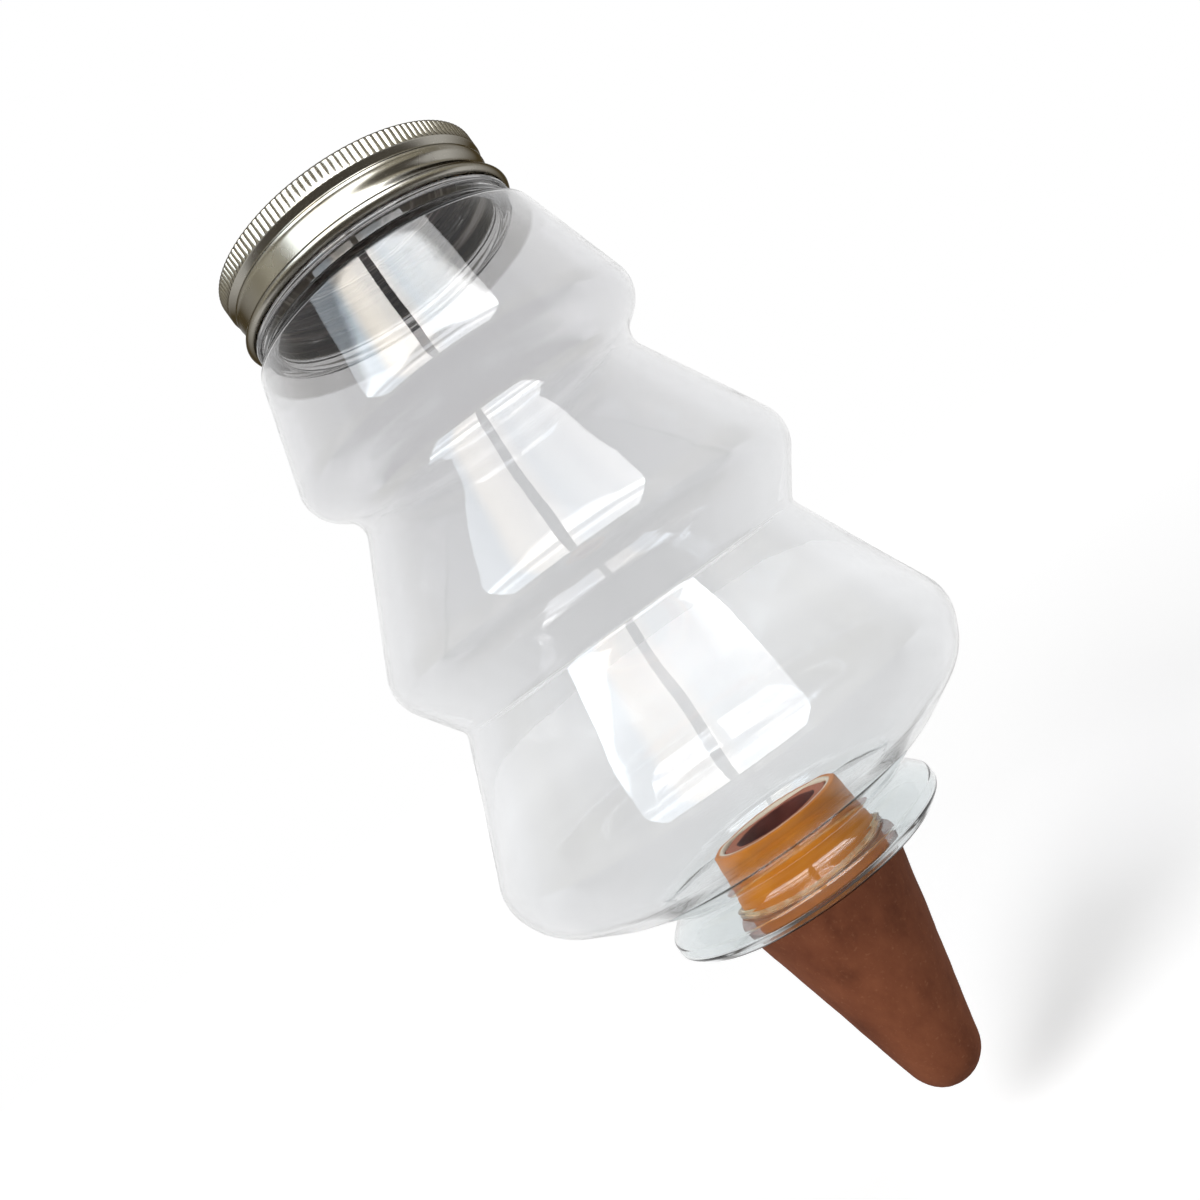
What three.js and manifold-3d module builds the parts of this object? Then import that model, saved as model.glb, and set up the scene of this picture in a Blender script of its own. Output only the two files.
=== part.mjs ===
// Plant waterer: a clear three-tiered bottle with a metal screw lid, standing in soil on a hollow terracotta spike.
// Lengths are in millimetres. +Z runs up the common axis and the origin is on it, where the foot meets the soil.
// Angles round the axis start at the front, which faces -Y, and run towards +X.

import * as THREE from 'three';
import { mergeVertices } from 'three/addons/utils/BufferGeometryUtils.js';
import Module from 'manifold-3d';

// Bottle, outer radii from the foot up
const footBaseRadius = 31.6;
const footRimRadius = 36.2;
const footWaistRadius = 30.6;
const bellyRadius = 46.6;
const keelRadius = 57.9;
const lowTierRadius = 63;
const lowWaistRadius = 46.4;
const midTierRadius = 56.8;
const midWaistRadius = 36.9;
const topTierRadius = 47.2;
const shoulderRadius = 38.2;

// Bottle heights, each counted from the one before it
const footRimHeight = 4.1;
const footWaistRise = 6.6;
const bellyRise = 7.3;
const keelRise = 6.9;
const lowTierRise = 10.9;
const lowWaistRise = 37.3;
const midTierRise = 15.1;
const midWaistRise = 38.4;
const topTierRise = 7.7;
const shoulderRise = 30.5;
const neckRise = 3.2;

// Bottle fillets and walls
const footBaseFillet = 3;
const footRimFillet = 2;
const footWaistFillet = 1.5;
const bellyFillet = 9.4;
const keelFillet = 14.5;
const lowTierFillet = 12.9;
const lowWaistFillet = 2;
const midTierFillet = 10.4;
const midWaistFillet = 6.3;
const topTierFillet = 6.9;
const shoulderFillet = 2;
const neckFillet = 0.8;
const wall = 0.9;
const neckWall = 1.6;

// Neck, its bead and the strip of it that shows under the lid
const neckShow = 3.5;
const neckBeadStand = 2.9;
const neckBeadHeight = 1.3;
const neckBeadBevel = 0.3;
const neckBaseStand = 1.9;
const rimChamfer = 0.5;

// Lid, pressed from sheet metal
const lidRadius = 35;
const lidHeight = 14.9;
const sheet = 0.45;
const knurlHeight = 3.5;
const knurlDepth = 0.4;
const knurlRibs = 140;
const knurlRootCut = 0.1;
const knurlRingSink = 0.2;
const lidEdge = 1;
const stepHeight = 1.9;
const stepSlope = 0.6;
const stepDepth = 0.35;
const bandStand = 0.5;
const rollRadius = 1.25;
const rollStand = 1.45;
const panelRadius = 30;
const panelDrop = 0.4;
const linerThickness = 0.8;
const linerInset = 1.2;

// Screw thread: one helix, pressed into the lid's band and moulded on the neck half a pitch above
const threadPitch = 4.23;
const threadDepth = 1.3;
const threadWidth = 4.2;
const threadStart = 0.11;
const threadStartHeight = 4.6;
const lidThreadTurns = 0.75;
const neckThreadTurns = 1.25;
const neckThreadWidth = 2.5;
const threadFade = 0.11;
const threadClearance = 0.35;

// Sleeve and the bead of sealant round it
const sleeveTopWall = 2.6;
const sleeveFlare = 1.3;
const sleeveHeight = 14;
const sleeveEdge = 0.7;
const sealantWidth = 2.6;
const sealantHeight = 2.1;

// Terracotta spike
const spikeNeckRadius = 14.5;
const spikeNeckDrop = 0.7;
const spikeNeckEdge = 0.7;
const spikeBoreRadius = 11;
const spikeShoulderRadius = 21.8;
const spikeShoulderDrop = 2.5;
const spikeShoulderEdge = 0.8;
const spikeLength = 60.3;
const spikeTipRadius = 9.8;
const spikeWall = 4.6;

// Space between pieces that touch on the real object, and how finely the round shapes are cut
const gap = 0.3;
const bottleSides = 44;
const lidSides = 48;
const spikeSides = 40;
const arcStep = THREE.MathUtils.degToRad(30);
const threadRows = 10;
const sealantRows = 4;
const bandRows = 7;
const mergeReach = 1e-5; // vertices nearer than this are one
const filletRoom = 0.48; // share of a side that one fillet may take

const fullTurn = 2 * Math.PI;
const quarterTurn = Math.PI / 2;

// Heights over the soil line
const footWaistZ = footRimHeight + footWaistRise;
const bellyZ = footWaistZ + bellyRise;
const keelZ = bellyZ + keelRise;
const lowTierZ = keelZ + lowTierRise;
const lowWaistZ = lowTierZ + lowWaistRise;
const midTierZ = lowWaistZ + midTierRise;
const midWaistZ = midTierZ + midWaistRise;
const topTierZ = midWaistZ + topTierRise;
const shoulderZ = topTierZ + shoulderRise;
const neckZ = shoulderZ + neckRise;
const lidBottomZ = neckZ + neckShow;
const lidTopZ = lidBottomZ + lidHeight;
const linerTopZ = lidTopZ - panelDrop - sheet - gap;
const linerBottomZ = linerTopZ - linerThickness;
const rimZ = linerBottomZ - gap;

// Levels and radii that the lid and the neck share
const knurlTopZ = lidTopZ - lidEdge;
const knurlBottomZ = knurlTopZ - knurlHeight;
const bandTopZ = knurlBottomZ - stepHeight;
const bandBottomZ = lidBottomZ + 2 * rollRadius;
const bandRadius = lidRadius - bandStand;
const bandBore = bandRadius - sheet;
const neckRadius = bandBore - threadDepth - threadClearance;
const neckCrest = bandBore - stepDepth - threadClearance;
const neckBore = neckRadius - neckWall;
const threadStartZ = lidBottomZ + threadStartHeight;

// What the sleeve fits round and into
const sleeveBore = spikeNeckRadius + gap;
const sleeveTopRadius = sleeveBore + sleeveTopWall;
const sleeveBaseRadius = sleeveTopRadius + sleeveFlare;
const holeRadius = sleeveBaseRadius + gap;
const spikeNeckTopZ = sleeveHeight - spikeNeckDrop;

// The foot stands on the ring of its underside that the spike's shoulder leaves free
const restRadius = spikeShoulderRadius + 2 * gap;

const wasm = await Module();
wasm.setup();

function pointAt(centre, radius, angle) {
  return new THREE.Vector2(centre.x + radius * Math.cos(angle), centre.y + radius * Math.sin(angle));
}

// Points of an arc, both ends included
function arc(centre, radius, from, to) {
  const steps = Math.max(1, Math.ceil(Math.abs(to - from) / arcStep));
  const points = [];
  for (let step = 0; step <= steps; step++) {
    points.push(pointAt(centre, radius, from + (to - from) * step / steps));
  }
  return points;
}

// A line through corners of [radius, height, fillet], each fillet an arc that its two sides have room for
function filleted(corners) {
  const places = corners.map(([radius, height]) => new THREE.Vector2(radius, height));
  const points = [];
  corners.forEach(([, , fillet = 0], index) => {
    const corner = places[index];
    if (fillet === 0) {
      points.push(corner);
      return;
    }
    const back = places[index - 1].clone().sub(corner);
    const ahead = places[index + 1].clone().sub(corner);
    const room = filletRoom * Math.min(back.length(), ahead.length());
    back.normalize();
    ahead.normalize();
    const half = Math.acos(back.dot(ahead)) / 2;
    const cut = Math.min(fillet / Math.tan(half), room);
    const radius = cut * Math.tan(half);
    const middle = back.clone().add(ahead).setLength(radius / Math.sin(half)).add(corner);
    const first = back.multiplyScalar(cut).add(corner).sub(middle).angle();
    const last = ahead.multiplyScalar(cut).add(corner).sub(middle).angle();
    const sweep = THREE.MathUtils.euclideanModulo(last - first + Math.PI, fullTurn) - Math.PI;
    points.push(...arc(middle, radius, first, first + sweep));
  });
  return points;
}

// The same line moved to the left of its own direction, as the inside of a wall is
function moved(points, distance) {
  const last = points.length - 1;
  return points.map((point, index) => {
    const from = points[Math.max(index, 1) - 1];
    const to = points[Math.min(index, last - 1) + 1];
    const before = points[Math.max(index, 1)].clone().sub(from).normalize();
    const after = to.clone().sub(points[Math.min(index, last - 1)]).normalize();
    const along = before.clone().add(after).normalize();
    const step = distance / along.dot(before);
    return new THREE.Vector2(point.x - along.y * step, point.y + along.x * step);
  });
}

// Evenly spaced rows up a straight wall
function rows(radius, low, high, count) {
  const points = [];
  for (let row = 0; row <= count; row++) {
    points.push(new THREE.Vector2(radius, low + (high - low) * row / count));
  }
  return points;
}

// A profile turned round the axis; shift moves a point outwards by its place and its angle
function turned(profile, sides, shift) {
  const geometry = new THREE.LatheGeometry(profile, sides);
  const place = geometry.attributes.position;
  for (let side = 0; side <= sides; side++) {
    const angle = fullTurn * (side % sides) / sides;
    profile.forEach((point, index) => {
      const radius = point.x + (shift ? shift(point, angle) : 0);
      place.setXYZ(side * profile.length + index, radius * Math.sin(angle), -radius * Math.cos(angle), point.y);
    });
  }
  return closed(geometry);
}

// Shared vertices merged, and no triangle left that has lost its area on the axis
function closed(geometry) {
  geometry.deleteAttribute('normal');
  geometry.deleteAttribute('uv');
  const merged = mergeVertices(geometry, mergeReach);
  const corners = merged.index.array;
  const kept = [];
  for (let first = 0; first < corners.length; first += 3) {
    const [a, b, c] = corners.slice(first, first + 3);
    if (a !== b && b !== c && c !== a) {
      kept.push(a, b, c);
    }
  }
  merged.setIndex(kept);
  return merged;
}

function toSolid(geometry) {
  const vertProperties = new Float32Array(geometry.attributes.position.array);
  return new wasm.Manifold(new wasm.Mesh({
    numProp: 3,
    vertProperties,
    triVerts: new Uint32Array(geometry.index.array),
  }));
}

function fromSolid(solid) {
  const mesh = solid.getMesh();
  const geometry = new THREE.BufferGeometry();
  geometry.setAttribute('position', new THREE.BufferAttribute(mesh.vertProperties, 3));
  geometry.setIndex(new THREE.BufferAttribute(mesh.triVerts, 1));
  return geometry;
}

// Height of a smooth hump of a given width at a distance from its middle
function hump(distance, width) {
  return Math.abs(distance) < width / 2 ? (1 + Math.cos(fullTurn * distance / width)) / 2 : 0;
}

// How far a helical thread stands at a height and an angle; it fades in and out at its two ends
function thread(height, angle, startZ, startAngle, turns, width) {
  let stand = 0;
  for (let lap = -1; lap <= Math.ceil(turns); lap++) {
    const along = (angle - startAngle) / fullTurn + lap;
    if (along > 0 && along < turns) {
      const fade = Math.min(1, along / threadFade, (turns - along) / threadFade);
      stand = Math.max(stand, fade * hump(height - startZ - along * threadPitch, width));
    }
  }
  return stand;
}

function bottleGeometry() {
  const body = filleted([
    [holeRadius, 0],
    [restRadius, 0],
    [footBaseRadius, 0, footBaseFillet],
    [footRimRadius, footRimHeight, footRimFillet],
    [footWaistRadius, footWaistZ, footWaistFillet],
    [bellyRadius, bellyZ, bellyFillet],
    [keelRadius, keelZ, keelFillet],
    [lowTierRadius, lowTierZ, lowTierFillet],
    [lowWaistRadius, lowWaistZ, lowWaistFillet],
    [midTierRadius, midTierZ, midTierFillet],
    [midWaistRadius, midWaistZ, midWaistFillet],
    [topTierRadius, topTierZ, topTierFillet],
    [shoulderRadius, shoulderZ, shoulderFillet],
    [neckRadius + neckBaseStand, neckZ, neckFillet],
    [neckRadius + neckBaseStand, lidBottomZ - gap - neckBeadHeight],
  ]);
  const beadTop = lidBottomZ - gap;
  const beadRadius = neckRadius + neckBeadStand;
  const bead = [
    new THREE.Vector2(beadRadius, beadTop - neckBeadHeight + neckBeadBevel),
    new THREE.Vector2(beadRadius, beadTop - neckBeadBevel),
    new THREE.Vector2(beadRadius - neckBeadBevel, beadTop),
  ];
  const threaded = rows(neckRadius, beadTop, rimZ - rimChamfer, threadRows);
  const rim = [
    new THREE.Vector2(neckRadius - rimChamfer, rimZ),
    new THREE.Vector2(neckBore + rimChamfer, rimZ),
    new THREE.Vector2(neckBore, rimZ - rimChamfer),
    new THREE.Vector2(neckBore, neckZ),
  ];
  const inside = moved(body, wall).filter((point) => point.y < neckZ - wall / 2).reverse();
  const profile = [...body, ...bead, ...threaded, ...rim, ...inside, body[0].clone()];
  const startAngle = threadStart - fullTurn / 2;
  const startZ = threadStartZ;
  const shift = (point, angle) => {
    if (point.x !== neckRadius) {
      return 0;
    }
    const stand = thread(point.y, angle, startZ, startAngle, neckThreadTurns, neckThreadWidth);
    return (neckCrest - neckRadius) * stand;
  };
  return turned(profile, bottleSides, shift);
}

// The ribs of the lid's grip, as a toothed ring in the lid's wall
function knurlGeometry() {
  const outline = new THREE.Shape();
  const root = lidRadius - knurlDepth - knurlRootCut;
  for (let rib = 0; rib < knurlRibs; rib++) {
    const angle = fullTurn * rib / knurlRibs;
    const valley = angle + fullTurn / knurlRibs / 2;
    const move = rib === 0 ? 'moveTo' : 'lineTo';
    outline[move](lidRadius * Math.cos(angle), lidRadius * Math.sin(angle));
    outline.lineTo(root * Math.cos(valley), root * Math.sin(valley));
  }
  outline.closePath();
  const hole = new THREE.Path();
  hole.absarc(0, 0, lidRadius - knurlDepth - knurlRingSink, 0, fullTurn, true);
  outline.holes.push(hole);
  const ring = new THREE.ExtrudeGeometry(outline, {
    depth: knurlHeight,
    bevelEnabled: false,
    curveSegments: lidSides,
  });
  ring.translate(0, 0, knurlBottomZ);
  return closed(ring);
}

function lidGeometry() {
  const knurlRoot = lidRadius - knurlDepth;
  const stepRadius = bandRadius - stepDepth;
  const rollCentre = new THREE.Vector2(lidRadius + rollStand - rollRadius, lidBottomZ + rollRadius);
  const meet = Math.PI - Math.acos((rollCentre.x - bandRadius) / rollRadius);
  const roll = arc(rollCentre, rollRadius, -Math.PI, meet);
  const side = [
    ...rows(bandRadius, bandBottomZ, bandTopZ, bandRows),
    ...filleted([
      [stepRadius, bandTopZ + stepSlope],
      [stepRadius, knurlBottomZ - stepSlope],
      [knurlRoot, knurlBottomZ],
      [knurlRoot, lidTopZ, lidEdge],
      [panelRadius + panelDrop, lidTopZ],
      [panelRadius, lidTopZ - panelDrop],
      [0, lidTopZ - panelDrop],
    ]),
  ];
  const inside = moved(side, sheet).reverse();
  const profile = [...inside, ...roll, ...side];
  const shift = (point, angle) => {
    if (point.y < bandBottomZ || point.y > bandTopZ) {
      return 0;
    }
    return -threadDepth * thread(point.y, angle, threadStartZ, threadStart, lidThreadTurns, threadWidth)
      * Math.min(1, (point.y - bandBottomZ) / sheet, (bandTopZ - point.y) / sheet);
  };
  const shell = toSolid(turned(profile, lidSides, shift));
  return fromSolid(shell.add(toSolid(knurlGeometry())));
}

function linerGeometry() {
  const radius = bandBore - linerInset;
  return turned([
    new THREE.Vector2(0, linerBottomZ),
    new THREE.Vector2(radius, linerBottomZ),
    new THREE.Vector2(radius, linerTopZ),
    new THREE.Vector2(0, linerTopZ),
  ], lidSides);
}

// Widest at its foot, which fills the hole in the bottle's floor
function sleeveGeometry() {
  const profile = filleted([
    [sleeveBore, 0],
    [sleeveBaseRadius, 0],
    [sleeveBaseRadius, wall],
    [sleeveTopRadius, sleeveHeight, sleeveEdge],
    [sleeveBore, sleeveHeight, sleeveEdge],
    [sleeveBore, 0],
  ]);
  return turned(profile, bottleSides);
}

// A quarter-round bead in the corner between the floor and the sleeve
function sealantGeometry() {
  const low = wall + gap;
  const inner = sleeveBaseRadius + gap;
  const profile = [new THREE.Vector2(inner, low)];
  for (let step = 0; step <= sealantRows; step++) {
    const angle = quarterTurn * step / sealantRows;
    const out = sealantWidth * Math.cos(angle);
    profile.push(new THREE.Vector2(inner + out, low + sealantHeight * Math.sin(angle)));
  }
  profile.push(profile[0].clone());
  return turned(profile, bottleSides);
}

function spikeGeometry() {
  const shoulder = new THREE.Vector2(spikeShoulderRadius, -spikeShoulderDrop);
  const tipCentre = new THREE.Vector2(0, spikeTipRadius - spikeLength);
  const reach = shoulder.clone().sub(tipCentre);
  const lean = Math.atan2(reach.x, reach.y) - Math.asin(spikeTipRadius / reach.length());
  const outside = [
    ...arc(tipCentre, spikeTipRadius, -quarterTurn, -lean),
    ...filleted([
      pointAt(tipCentre, spikeTipRadius, -lean).toArray(),
      [...shoulder.toArray(), spikeShoulderEdge],
      [spikeNeckRadius, -gap],
      [spikeNeckRadius, spikeNeckTopZ, spikeNeckEdge],
      [spikeBoreRadius, spikeNeckTopZ, spikeNeckEdge],
      [spikeBoreRadius, 0],
    ]).slice(1),
  ];
  const cavityTip = spikeTipRadius - spikeWall;
  const cavityFoot = pointAt(tipCentre, cavityTip, -lean);
  const taper = (spikeBoreRadius - cavityFoot.x) / Math.sin(lean);
  const inside = [
    new THREE.Vector2(spikeBoreRadius, cavityFoot.y + taper * Math.cos(lean)),
    ...arc(tipCentre, cavityTip, -lean, -quarterTurn),
  ];
  const profile = [...outside, ...inside];
  profile[0].x = 0;
  profile[profile.length - 1].x = 0;
  return turned(profile, spikeSides);
}

function clearPlastic() {
  return new THREE.MeshStandardMaterial({
    color: 0xe8eef1,
    roughness: 0.06,
    metalness: 0,
    transparent: true,
    opacity: 0.35,
  });
}

function satinMetal() {
  return new THREE.MeshStandardMaterial({ color: 0xb9b5a8, roughness: 0.32, metalness: 1 });
}

function darkSeal() {
  return new THREE.MeshStandardMaterial({ color: 0x4a4440, roughness: 0.35, metalness: 0 });
}

function orangeRubber() {
  return new THREE.MeshStandardMaterial({ color: 0xd08a22, roughness: 0.45, metalness: 0 });
}

function clearSealant() {
  return new THREE.MeshStandardMaterial({
    color: 0xe9dfc8,
    roughness: 0.25,
    metalness: 0,
    transparent: true,
    opacity: 0.5,
  });
}

function terracotta() {
  return new THREE.MeshStandardMaterial({ color: 0x8f4c36, roughness: 0.92, metalness: 0 });
}

function piece(name, geometry, material) {
  const mesh = new THREE.Mesh(geometry, material);
  mesh.name = name;
  return mesh;
}

const waterer = new THREE.Group();
waterer.add(piece('bottle', bottleGeometry(), clearPlastic()));
waterer.add(piece('lid_shell', lidGeometry(), satinMetal()));
waterer.add(piece('lid_liner', linerGeometry(), darkSeal()));
waterer.add(piece('seal_sleeve', sleeveGeometry(), orangeRubber()));
waterer.add(piece('sealant_bead', sealantGeometry(), clearSealant()));
waterer.add(piece('spike', spikeGeometry(), terracotta()));

export default waterer;
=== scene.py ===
# Clear tiered plant waterer with a screw lid and a terracotta spike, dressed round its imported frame.
import math

import bpy
import numpy as np
from mathutils import Matrix, Vector


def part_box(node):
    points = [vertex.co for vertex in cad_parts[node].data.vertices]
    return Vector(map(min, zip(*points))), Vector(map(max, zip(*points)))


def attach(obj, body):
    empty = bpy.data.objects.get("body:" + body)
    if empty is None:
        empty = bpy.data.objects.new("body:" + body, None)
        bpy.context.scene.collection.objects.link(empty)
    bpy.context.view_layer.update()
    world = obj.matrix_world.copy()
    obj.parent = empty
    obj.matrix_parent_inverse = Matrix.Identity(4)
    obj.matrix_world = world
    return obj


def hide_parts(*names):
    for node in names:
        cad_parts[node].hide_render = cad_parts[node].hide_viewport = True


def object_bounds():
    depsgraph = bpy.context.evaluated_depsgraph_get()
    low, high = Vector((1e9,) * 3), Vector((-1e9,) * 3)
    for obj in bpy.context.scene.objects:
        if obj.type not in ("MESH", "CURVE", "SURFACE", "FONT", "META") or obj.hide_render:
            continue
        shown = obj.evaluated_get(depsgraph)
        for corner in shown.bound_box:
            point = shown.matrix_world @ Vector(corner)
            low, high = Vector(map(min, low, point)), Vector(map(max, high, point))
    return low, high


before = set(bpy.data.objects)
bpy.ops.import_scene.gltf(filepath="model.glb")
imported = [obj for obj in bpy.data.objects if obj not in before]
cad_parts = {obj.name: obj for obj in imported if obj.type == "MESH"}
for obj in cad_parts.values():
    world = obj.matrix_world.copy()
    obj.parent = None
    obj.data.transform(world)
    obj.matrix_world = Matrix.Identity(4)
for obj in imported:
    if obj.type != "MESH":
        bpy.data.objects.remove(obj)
cadLow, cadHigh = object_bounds()

mm = 0.001  # the shapes below are drawn in millimetres
fullTurn = 2 * math.pi
print("frame loaded:", ", ".join(sorted(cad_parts)))


# Drawing tools

filletShare = 0.48  # the most that a fillet takes of the shorter side beside it
mergeGap = 0.004 * mm  # points closer than this become one
onFace = 0.02  # mm that a point may lie from the face it belongs to

thread = {  # the neck's ridge and the lid's groove are one thread
    "pitch": 4.23,
    "fade": 0.11,  # turns over which each end fades
    "startHeight": 4.6,  # over the lid's lower edge
    "startAngle": 0.04,
}


def deselectAll():
    bpy.ops.object.select_all(action="DESELECT")


def arcLine(centre, radius, start, end, arcStep):
    steps = max(2, math.ceil(abs(end - start) / math.radians(arcStep)))
    angles = [start + (end - start) * step / steps for step in range(steps + 1)]
    return [Vector((centre.x + radius * math.cos(a), centre.y + radius * math.sin(a))) for a in angles]


def roundedLine(corners, arcStep=7):
    # corners are (radius, height, fillet)
    line = []
    for index, (x, z, fillet) in enumerate(corners):
        corner = Vector((x, z))
        if not fillet:
            line.append(corner)
            continue
        back = Vector(corners[index - 1][:2]) - corner
        ahead = Vector(corners[index + 1][:2]) - corner
        room = filletShare * min(back.length, ahead.length)
        back.normalize()
        ahead.normalize()
        half = math.acos(max(-1, min(1, back.dot(ahead)))) / 2
        cut = min(fillet / math.tan(half), room)
        radius = cut * math.tan(half)
        centre = corner + (back + ahead).normalized() * (radius / math.sin(half))
        first = corner + back * cut - centre
        last = corner + ahead * cut - centre
        start = math.atan2(first.y, first.x)
        sweep = (math.atan2(last.y, last.x) - start + math.pi) % fullTurn - math.pi
        line += arcLine(centre, radius, start, start + sweep, arcStep)
    return line


def spacedLine(line, spacing):
    # long straight runs get rows no further apart than the spacing
    spaced = [line[0]]
    for before, after in zip(line, line[1:]):
        rows = max(1, math.ceil((after - before).length / spacing))
        spaced += [before.lerp(after, row / rows) for row in range(1, rows + 1)]
    return spaced


def insetLine(line, distance):
    # the same line moved to the left of its own direction
    moved = []
    for index, point in enumerate(line):
        before = (line[max(index, 1)] - line[max(index, 1) - 1]).normalized()
        last = min(index, len(line) - 2)
        after = (line[last + 1] - line[last]).normalized()
        along = (before + after).normalized()
        step = distance / along.dot(before)
        moved.append(Vector((point.x - along.y * step, point.y + along.x * step)))
    return moved


def drawLine(name, line):
    # one vertex, drawn on from point to point with extrude
    deselectAll()
    bpy.ops.mesh.primitive_circle_add(vertices=3, radius=mm, location=(0, 0, 0))
    piece = bpy.context.object
    piece.name = piece.data.name = name
    bpy.ops.object.mode_set(mode="EDIT")
    bpy.ops.mesh.select_all(action="SELECT")
    bpy.ops.mesh.merge(type="CENTER")
    bpy.ops.transform.translate(value=(line[0].x * mm, 0, line[0].y * mm))
    for before, after in zip(line, line[1:]):
        step = (after - before) * mm
        bpy.ops.mesh.extrude_vertices_move(TRANSFORM_OT_translate={"value": (step.x, 0, step.y)})
    return piece


def spinLine(name, line, sectors, sectorSides):
    # one sector is spun, and an array turns it round the axis
    piece = drawLine(name, line)
    sector = fullTurn / sectors
    bpy.ops.mesh.select_all(action="SELECT")
    bpy.ops.mesh.spin(steps=sectorSides, angle=sector, center=(0, 0, 0), axis=(0, 0, 1))
    bpy.ops.object.mode_set(mode="OBJECT")
    bpy.ops.object.empty_add(location=(0, 0, 0), rotation=(0, 0, sector))
    turner = bpy.context.object
    bpy.context.view_layer.objects.active = piece
    bpy.ops.object.modifier_add(type="ARRAY")
    array = piece.modifiers[-1]
    array.use_relative_offset = False
    array.use_object_offset = True
    array.offset_object = turner
    array.count = sectors
    bpy.ops.object.modifier_apply(modifier=array.name)
    bpy.data.objects.remove(turner)
    deselectAll()
    piece.select_set(True)
    bpy.ops.object.mode_set(mode="EDIT")
    bpy.ops.mesh.select_all(action="SELECT")
    bpy.ops.mesh.remove_doubles(threshold=mergeGap)
    bpy.ops.mesh.normals_make_consistent(inside=False)
    bpy.ops.object.mode_set(mode="OBJECT")
    return piece


def moveOut(piece, outBy):
    # each point moves away from the axis by outBy(radius, angle, height), all in millimetres;
    # angles start at the front, which faces -Y, and run towards +X
    places = np.empty(len(piece.data.vertices) * 3)
    piece.data.vertices.foreach_get("co", places)
    places = places.reshape(-1, 3) / mm
    radius = np.hypot(places[:, 0], places[:, 1])
    angle = np.arctan2(places[:, 0], -places[:, 1]) % fullTurn
    share = 1 + outBy(radius, angle, places[:, 2]) / np.maximum(radius, 1)
    places[:, :2] *= share[:, None]
    piece.data.vertices.foreach_set("co", (places * mm).ravel())
    piece.data.update()


def threadStand(height, angle, startZ, startAngle, turns, width):
    # a helical hump from 0 to 1, which fades in and out at its ends
    stand = np.zeros_like(height)
    for lap in range(-1, math.ceil(turns) + 1):
        along = (angle - startAngle) / fullTurn + lap
        fade = np.clip(np.minimum(along, turns - along) / thread["fade"], 0, 1)
        reach = np.clip(np.abs(height - startZ - along * thread["pitch"]) / width, 0, 0.5)
        stand = np.maximum(stand, fade * (1 + np.cos(fullTurn * reach)) / 2)
    return stand


def wrinkle(piece, depth, size):
    # an uneven surface, as real geometry
    clouds = bpy.data.textures.new(piece.name + "_clouds", "CLOUDS")
    clouds.noise_scale = size * mm
    clouds.noise_depth = 1
    bpy.context.view_layer.objects.active = piece
    bpy.ops.object.modifier_add(type="DISPLACE")
    displace = piece.modifiers[-1]
    displace.texture = clouds
    displace.strength = depth * mm
    bpy.ops.object.modifier_apply(modifier=displace.name)


def smooth(piece, angle):
    deselectAll()
    piece.select_set(True)
    bpy.context.view_layer.objects.active = piece
    bpy.ops.object.shade_smooth_by_angle(angle=math.radians(angle))


def faceFacts(face):
    # a face's middle, how far that is from the axis, and whether the face looks towards the axis
    centre = face.center / mm
    reach = math.hypot(centre.x, centre.y)
    inwards = face.normal.x * centre.x + face.normal.y * centre.y < -0.3 * reach
    return centre, reach, inwards


# Material tools

caughtAfter = 9.5  # faces that light crosses before it counts as caught in a wall


def newMaterial(name):
    material = bpy.data.materials.new(name)
    material.use_nodes = True
    tree = material.node_tree
    return material, tree, tree.nodes["Principled BSDF"]


def addNode(tree, kind, settings=None, inputs=None):
    node = tree.nodes.new(kind)
    for key, value in (settings or {}).items():
        setattr(node, key, value)
    for key, value in (inputs or {}).items():
        node.inputs[key].default_value = value
    return node


def objectPlaces(tree, scale=(1, 1, 1), shift=(0, 0, 0)):
    coordinates = addNode(tree, "ShaderNodeTexCoord")
    mapping = addNode(tree, "ShaderNodeMapping", inputs={"Scale": scale, "Location": shift})
    tree.links.new(coordinates.outputs["Object"], mapping.inputs["Vector"])
    return mapping.outputs["Vector"]


def noiseNode(tree, places, scale, detail=3, roughness=0.5):
    noise = addNode(tree, "ShaderNodeTexNoise", inputs={
        "Scale": scale, "Detail": detail, "Roughness": roughness})
    tree.links.new(places, noise.inputs["Vector"])
    return noise.outputs["Fac"]


def rampNode(tree, value, stops):
    ramp = addNode(tree, "ShaderNodeValToRGB")
    points = ramp.color_ramp.elements
    while len(points) < len(stops):
        points.new(0.5)
    for point, (position, colour) in zip(points, stops):
        point.position = position
        point.color = (*colour, 1)
    tree.links.new(value, ramp.inputs["Fac"])
    return ramp.outputs["Color"]


def rangeNode(tree, value, low, high, fromLow=0, fromHigh=1):
    span = addNode(tree, "ShaderNodeMapRange", inputs={
        "From Min": fromLow, "From Max": fromHigh, "To Min": low, "To Max": high})
    tree.links.new(value, span.inputs["Value"])
    return span.outputs["Result"]


def mixNode(tree, share, below, above):
    # below is a socket and above a fixed colour
    mix = addNode(tree, "ShaderNodeMix", {"data_type": "RGBA"})
    tree.links.new(share, mix.inputs["Factor"])
    tree.links.new(below, mix.inputs["A"])
    mix.inputs["B"].default_value = (*above, 1)
    return mix.outputs["Result"]


def timesNode(tree, first, second):
    times = addNode(tree, "ShaderNodeMath", {"operation": "MULTIPLY"})
    tree.links.new(first, times.inputs[0])
    tree.links.new(second, times.inputs[1])
    return times.outputs[0]


def placeAlong(tree, places, axis):
    apart = addNode(tree, "ShaderNodeSeparateXYZ")
    tree.links.new(places, apart.inputs["Vector"])
    return apart.outputs[axis]


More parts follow.
